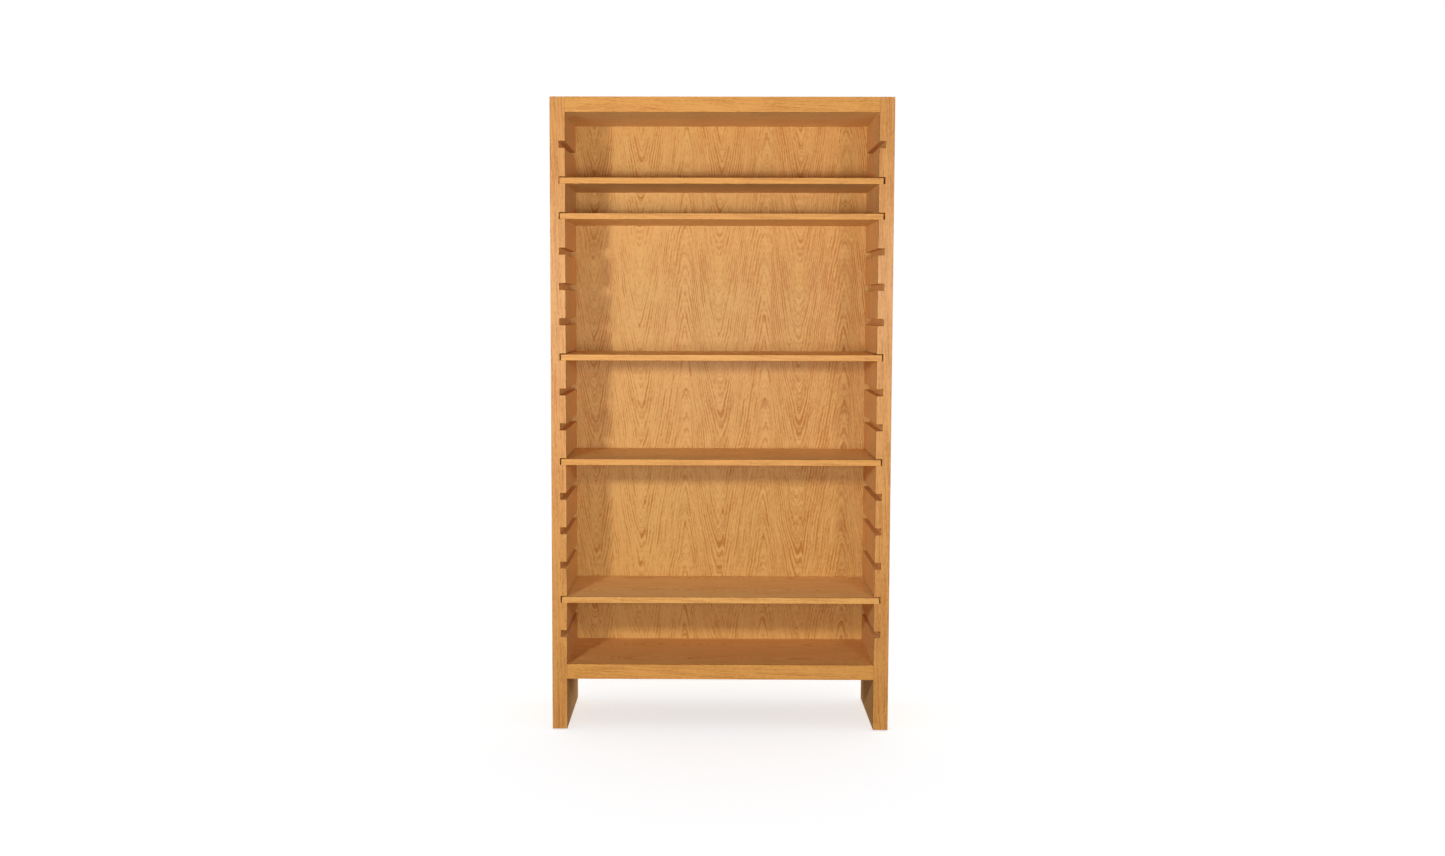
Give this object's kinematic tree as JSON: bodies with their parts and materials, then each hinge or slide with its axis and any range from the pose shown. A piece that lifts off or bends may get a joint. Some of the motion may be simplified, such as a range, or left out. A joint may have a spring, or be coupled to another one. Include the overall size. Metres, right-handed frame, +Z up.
{
  "type": "bookcase with adjustable shelves",
  "caption": "Tall open-fronted oak bookcase; loose shelves slide into evenly spaced slots milled in thick side panels that run down to form the legs.",
  "frame": {"origin": "on the floor, midway across the case and midway between its front and rear edges", "axes": "+X to the viewer's right when facing the front, -Y out of the open front, +Z up"},
  "size_m": [1.09, 0.356, 2.036],
  "materials": {
    "oak_panel": "oak veneer, satin lacquer",
    "oak_lipping": "solid oak, satin lacquer",
    "oak_shelf": "oak veneer, satin lacquer",
    "oak_back": "crown-cut oak veneer, satin lacquer",
    "beech_dowel": "bare beech",
    "steel": "zinc plated",
    "glide_plastic": "matt moulded"
  },
  "bodies": {
    "case": {"side_left": "oak_panel", "side_right": "oak_panel", "top_panel": "oak_panel", "bottom_panel": "oak_panel", "side_left_lipping": "oak_lipping", "side_right_lipping": "oak_lipping", "top_lipping": "oak_lipping", "bottom_lipping": "oak_lipping", "back_panel": "oak_back", "back_panel_screws": "steel", "top_left_dowels": "beech_dowel", "top_right_dowels": "beech_dowel", "bottom_left_dowels": "beech_dowel", "bottom_right_dowels": "beech_dowel", "glide_front_left": "glide_plastic", "glide_front_right": "glide_plastic", "glide_rear_left": "glide_plastic", "glide_rear_right": "glide_plastic", "glide_nails": "steel"},
    "loose_shelf_1": {"shelf_1": "oak_shelf", "shelf_1_lipping": "oak_lipping"},
    "loose_shelf_2": {"shelf_2": "oak_shelf", "shelf_2_lipping": "oak_lipping"},
    "loose_shelf_3": {"shelf_3": "oak_shelf", "shelf_3_lipping": "oak_lipping"},
    "loose_shelf_4": {"shelf_4": "oak_shelf", "shelf_4_lipping": "oak_lipping"},
    "loose_shelf_5": {"shelf_5": "oak_shelf", "shelf_5_lipping": "oak_lipping"}
  },
  "joints": [
    {"name": "shelf_1_slide", "type": "slide", "parent": "case", "child": "loose_shelf_1", "axis": [0, -1, 0], "range_m": [0, 0.36]},
    {"name": "shelf_2_slide", "type": "slide", "parent": "case", "child": "loose_shelf_2", "axis": [0, -1, 0], "range_m": [0, 0.36]},
    {"name": "shelf_3_slide", "type": "slide", "parent": "case", "child": "loose_shelf_3", "axis": [0, -1, 0], "range_m": [0, 0.36]},
    {"name": "shelf_4_slide", "type": "slide", "parent": "case", "child": "loose_shelf_4", "axis": [0, -1, 0], "range_m": [0, 0.36]},
    {"name": "shelf_5_slide", "type": "slide", "parent": "case", "child": "loose_shelf_5", "axis": [0, -1, 0], "range_m": [0, 0.36]}
  ]
}
